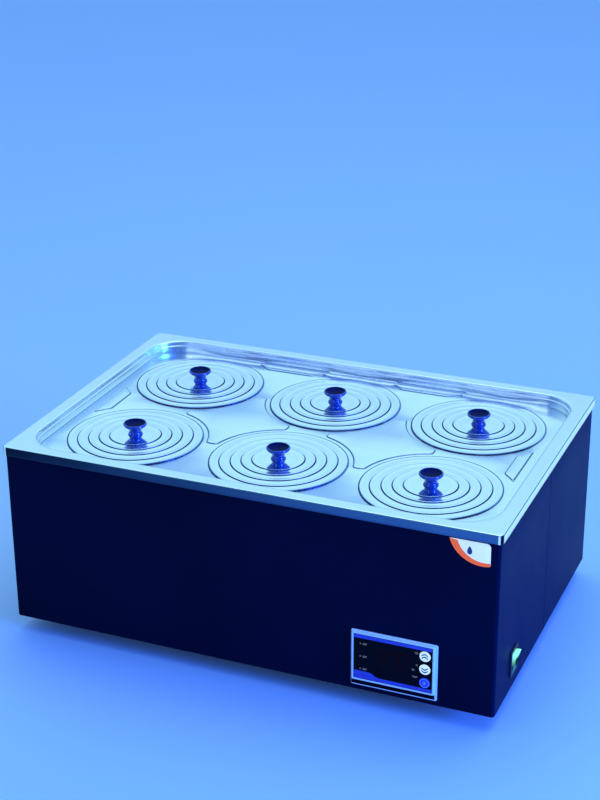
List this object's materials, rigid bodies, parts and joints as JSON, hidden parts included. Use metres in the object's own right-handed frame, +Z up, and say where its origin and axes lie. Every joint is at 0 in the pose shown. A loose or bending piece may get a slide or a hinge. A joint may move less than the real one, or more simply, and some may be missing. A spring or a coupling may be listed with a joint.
{
  "type": "water bath",
  "caption": "Laboratory water bath: painted steel casing, stainless tank and recessed rim, lift-out deck with openings closed by concentric rings and knobbed lids, digital controller.",
  "frame": {"origin": "on the table, under the middle of the casing", "axes": "+Z up, +X to the object's right along its width, -Y towards the front panel"},
  "size_m": [0.6042, 0.4104, 0.2469],
  "materials": {
    "stainless_rim": "satin",
    "stainless_tank": "satin",
    "stainless_deck": "satin",
    "casing_paint": "semi-gloss",
    "base_paint": "satin",
    "foot_rubber": "matte",
    "zinc_screws": "satin",
    "glass_wool": "fibrous",
    "heater_sheath": "satin",
    "gland_brass": "satin",
    "probe_steel": "satin",
    "shelf_steel": "satin",
    "drain_brass": "satin",
    "plug_rubber": "matte",
    "bezel_silver": "satin",
    "window_black": "gloss",
    "button_white": "semi-gloss",
    "button_blue": "semi-gloss",
    "switch_black": "satin",
    "rocker_green": "gloss",
    "inlet_black": "satin",
    "badge_white": "gloss",
    "ring_steel": "turned",
    "lid_steel": "turned",
    "knob_plastic": "gloss"
  },
  "bodies": {
    "root": {"rim_frame": "stainless_rim", "tank": "stainless_tank", "casing_front": "casing_paint", "casing_rear": "casing_paint", "base_plate": "base_paint", "feet": "foot_rubber", "casing_screws": "zinc_screws", "insulation": "glass_wool", "heater_element": "heater_sheath", "heater_glands": "gland_brass", "temperature_probe": "probe_steel", "drain_spout": "drain_brass", "controller_case": "bezel_silver", "controller_window": "window_black", "switch_housing": "switch_black", "power_inlet": "inlet_black", "badge": "badge_white"},
    "deck": {"deck_plate": "stainless_deck"},
    "shelf": {"shelf": "shelf_steel"},
    "drain_plug": {"drain_plug": "plug_rubber"},
    "button_up": {"button_up": "button_white"},
    "button_down": {"button_down": "button_white"},
    "button_set": {"button_set": "button_blue"},
    "rocker": {"switch_rocker": "rocker_green"},
    "front_left_ring_1": {"front_left_ring_1": "ring_steel"},
    "front_left_ring_2": {"front_left_ring_2": "ring_steel"},
    "front_left_ring_3": {"front_left_ring_3": "ring_steel"},
    "front_left_ring_4": {"front_left_ring_4": "ring_steel"},
    "front_left_lid": {"front_left_lid": "lid_steel", "front_left_knob": "knob_plastic"},
    "front_middle_ring_1": {"front_middle_ring_1": "ring_steel"},
    "front_middle_ring_2": {"front_middle_ring_2": "ring_steel"},
    "front_middle_ring_3": {"front_middle_ring_3": "ring_steel"},
    "front_middle_ring_4": {"front_middle_ring_4": "ring_steel"},
    "front_middle_lid": {"front_middle_lid": "lid_steel", "front_middle_knob": "knob_plastic"},
    "front_right_ring_1": {"front_right_ring_1": "ring_steel"},
    "front_right_ring_2": {"front_right_ring_2": "ring_steel"},
    "front_right_ring_3": {"front_right_ring_3": "ring_steel"},
    "front_right_ring_4": {"front_right_ring_4": "ring_steel"},
    "front_right_lid": {"front_right_lid": "lid_steel", "front_right_knob": "knob_plastic"},
    "rear_left_ring_1": {"rear_left_ring_1": "ring_steel"},
    "rear_left_ring_2": {"rear_left_ring_2": "ring_steel"},
    "rear_left_ring_3": {"rear_left_ring_3": "ring_steel"},
    "rear_left_ring_4": {"rear_left_ring_4": "ring_steel"},
    "rear_left_lid": {"rear_left_lid": "lid_steel", "rear_left_knob": "knob_plastic"},
    "rear_middle_ring_1": {"rear_middle_ring_1": "ring_steel"},
    "rear_middle_ring_2": {"rear_middle_ring_2": "ring_steel"},
    "rear_middle_ring_3": {"rear_middle_ring_3": "ring_steel"},
    "rear_middle_ring_4": {"rear_middle_ring_4": "ring_steel"},
    "rear_middle_lid": {"rear_middle_lid": "lid_steel", "rear_middle_knob": "knob_plastic"},
    "rear_right_ring_1": {"rear_right_ring_1": "ring_steel"},
    "rear_right_ring_2": {"rear_right_ring_2": "ring_steel"},
    "rear_right_ring_3": {"rear_right_ring_3": "ring_steel"},
    "rear_right_ring_4": {"rear_right_ring_4": "ring_steel"},
    "rear_right_lid": {"rear_right_lid": "lid_steel", "rear_right_knob": "knob_plastic"}
  },
  "joints": [
    {"name": "bath_deck_lift", "type": "slide", "parent": "root", "child": "deck", "axis": [0, 0, 1], "range_m": [0, 0.12]},
    {"name": "bath_shelf_lift", "type": "slide", "parent": "root", "child": "shelf", "axis": [0, 0, 1], "range_m": [0, 0.06]},
    {"name": "ac_rocker_tilt", "type": "hinge", "parent": "root", "child": "rocker", "pos_m": [0.2945, -0.127, 0.0532], "axis": [0, -1, 0], "range_deg": [0, 24]},
    {"name": "button_up_press", "type": "slide", "parent": "root", "child": "button_up", "axis": [0, 1, 0], "range_m": [0, 0.0006], "stiffness_N_per_m": 300, "springref_m": -0.0004},
    {"name": "button_down_press", "type": "slide", "parent": "root", "child": "button_down", "axis": [0, 1, 0], "range_m": [0, 0.0006], "stiffness_N_per_m": 300, "springref_m": -0.0004},
    {"name": "button_set_press", "type": "slide", "parent": "root", "child": "button_set", "axis": [0, 1, 0], "range_m": [0, 0.0006], "stiffness_N_per_m": 300, "springref_m": -0.0004},
    {"name": "drain_plug_out", "type": "slide", "parent": "root", "child": "drain_plug", "axis": [0, 1, 0], "range_m": [0, 0.04]},
    {"name": "front_left_ring_1_lift", "type": "slide", "parent": "deck", "child": "front_left_ring_1", "axis": [0, 0, 1], "range_m": [0, 0.04]},
    {"name": "front_left_ring_2_lift", "type": "slide", "parent": "front_left_ring_1", "child": "front_left_ring_2", "axis": [0, 0, 1], "range_m": [0, 0.04]},
    {"name": "front_left_ring_3_lift", "type": "slide", "parent": "front_left_ring_2", "child": "front_left_ring_3", "axis": [0, 0, 1], "range_m": [0, 0.04]},
    {"name": "front_left_ring_4_lift", "type": "slide", "parent": "front_left_ring_3", "child": "front_left_ring_4", "axis": [0, 0, 1], "range_m": [0, 0.04]},
    {"name": "front_left_lid_lift", "type": "slide", "parent": "front_left_ring_4", "child": "front_left_lid", "axis": [0, 0, 1], "range_m": [0, 0.04]},
    {"name": "front_middle_ring_1_lift", "type": "slide", "parent": "deck", "child": "front_middle_ring_1", "axis": [0, 0, 1], "range_m": [0, 0.04]},
    {"name": "front_middle_ring_2_lift", "type": "slide", "parent": "front_middle_ring_1", "child": "front_middle_ring_2", "axis": [0, 0, 1], "range_m": [0, 0.04]},
    {"name": "front_middle_ring_3_lift", "type": "slide", "parent": "front_middle_ring_2", "child": "front_middle_ring_3", "axis": [0, 0, 1], "range_m": [0, 0.04]},
    {"name": "front_middle_ring_4_lift", "type": "slide", "parent": "front_middle_ring_3", "child": "front_middle_ring_4", "axis": [0, 0, 1], "range_m": [0, 0.04]},
    {"name": "front_middle_lid_lift", "type": "slide", "parent": "front_middle_ring_4", "child": "front_middle_lid", "axis": [0, 0, 1], "range_m": [0, 0.04]},
    {"name": "front_right_ring_1_lift", "type": "slide", "parent": "deck", "child": "front_right_ring_1", "axis": [0, 0, 1], "range_m": [0, 0.04]},
    {"name": "front_right_ring_2_lift", "type": "slide", "parent": "front_right_ring_1", "child": "front_right_ring_2", "axis": [0, 0, 1], "range_m": [0, 0.04]},
    {"name": "front_right_ring_3_lift", "type": "slide", "parent": "front_right_ring_2", "child": "front_right_ring_3", "axis": [0, 0, 1], "range_m": [0, 0.04]},
    {"name": "front_right_ring_4_lift", "type": "slide", "parent": "front_right_ring_3", "child": "front_right_ring_4", "axis": [0, 0, 1], "range_m": [0, 0.04]},
    {"name": "front_right_lid_lift", "type": "slide", "parent": "front_right_ring_4", "child": "front_right_lid", "axis": [0, 0, 1], "range_m": [0, 0.04]},
    {"name": "rear_left_ring_1_lift", "type": "slide", "parent": "deck", "child": "rear_left_ring_1", "axis": [0, 0, 1], "range_m": [0, 0.04]},
    {"name": "rear_left_ring_2_lift", "type": "slide", "parent": "rear_left_ring_1", "child": "rear_left_ring_2", "axis": [0, 0, 1], "range_m": [0, 0.04]},
    {"name": "rear_left_ring_3_lift", "type": "slide", "parent": "rear_left_ring_2", "child": "rear_left_ring_3", "axis": [0, 0, 1], "range_m": [0, 0.04]},
    {"name": "rear_left_ring_4_lift", "type": "slide", "parent": "rear_left_ring_3", "child": "rear_left_ring_4", "axis": [0, 0, 1], "range_m": [0, 0.04]},
    {"name": "rear_left_lid_lift", "type": "slide", "parent": "rear_left_ring_4", "child": "rear_left_lid", "axis": [0, 0, 1], "range_m": [0, 0.04]},
    {"name": "rear_middle_ring_1_lift", "type": "slide", "parent": "deck", "child": "rear_middle_ring_1", "axis": [0, 0, 1], "range_m": [0, 0.04]},
    {"name": "rear_middle_ring_2_lift", "type": "slide", "parent": "rear_middle_ring_1", "child": "rear_middle_ring_2", "axis": [0, 0, 1], "range_m": [0, 0.04]},
    {"name": "rear_middle_ring_3_lift", "type": "slide", "parent": "rear_middle_ring_2", "child": "rear_middle_ring_3", "axis": [0, 0, 1], "range_m": [0, 0.04]},
    {"name": "rear_middle_ring_4_lift", "type": "slide", "parent": "rear_middle_ring_3", "child": "rear_middle_ring_4", "axis": [0, 0, 1], "range_m": [0, 0.04]},
    {"name": "rear_middle_lid_lift", "type": "slide", "parent": "rear_middle_ring_4", "child": "rear_middle_lid", "axis": [0, 0, 1], "range_m": [0, 0.04]},
    {"name": "rear_right_ring_1_lift", "type": "slide", "parent": "deck", "child": "rear_right_ring_1", "axis": [0, 0, 1], "range_m": [0, 0.04]},
    {"name": "rear_right_ring_2_lift", "type": "slide", "parent": "rear_right_ring_1", "child": "rear_right_ring_2", "axis": [0, 0, 1], "range_m": [0, 0.04]},
    {"name": "rear_right_ring_3_lift", "type": "slide", "parent": "rear_right_ring_2", "child": "rear_right_ring_3", "axis": [0, 0, 1], "range_m": [0, 0.04]},
    {"name": "rear_right_ring_4_lift", "type": "slide", "parent": "rear_right_ring_3", "child": "rear_right_ring_4", "axis": [0, 0, 1], "range_m": [0, 0.04]},
    {"name": "rear_right_lid_lift", "type": "slide", "parent": "rear_right_ring_4", "child": "rear_right_lid", "axis": [0, 0, 1], "range_m": [0, 0.04]}
  ]
}
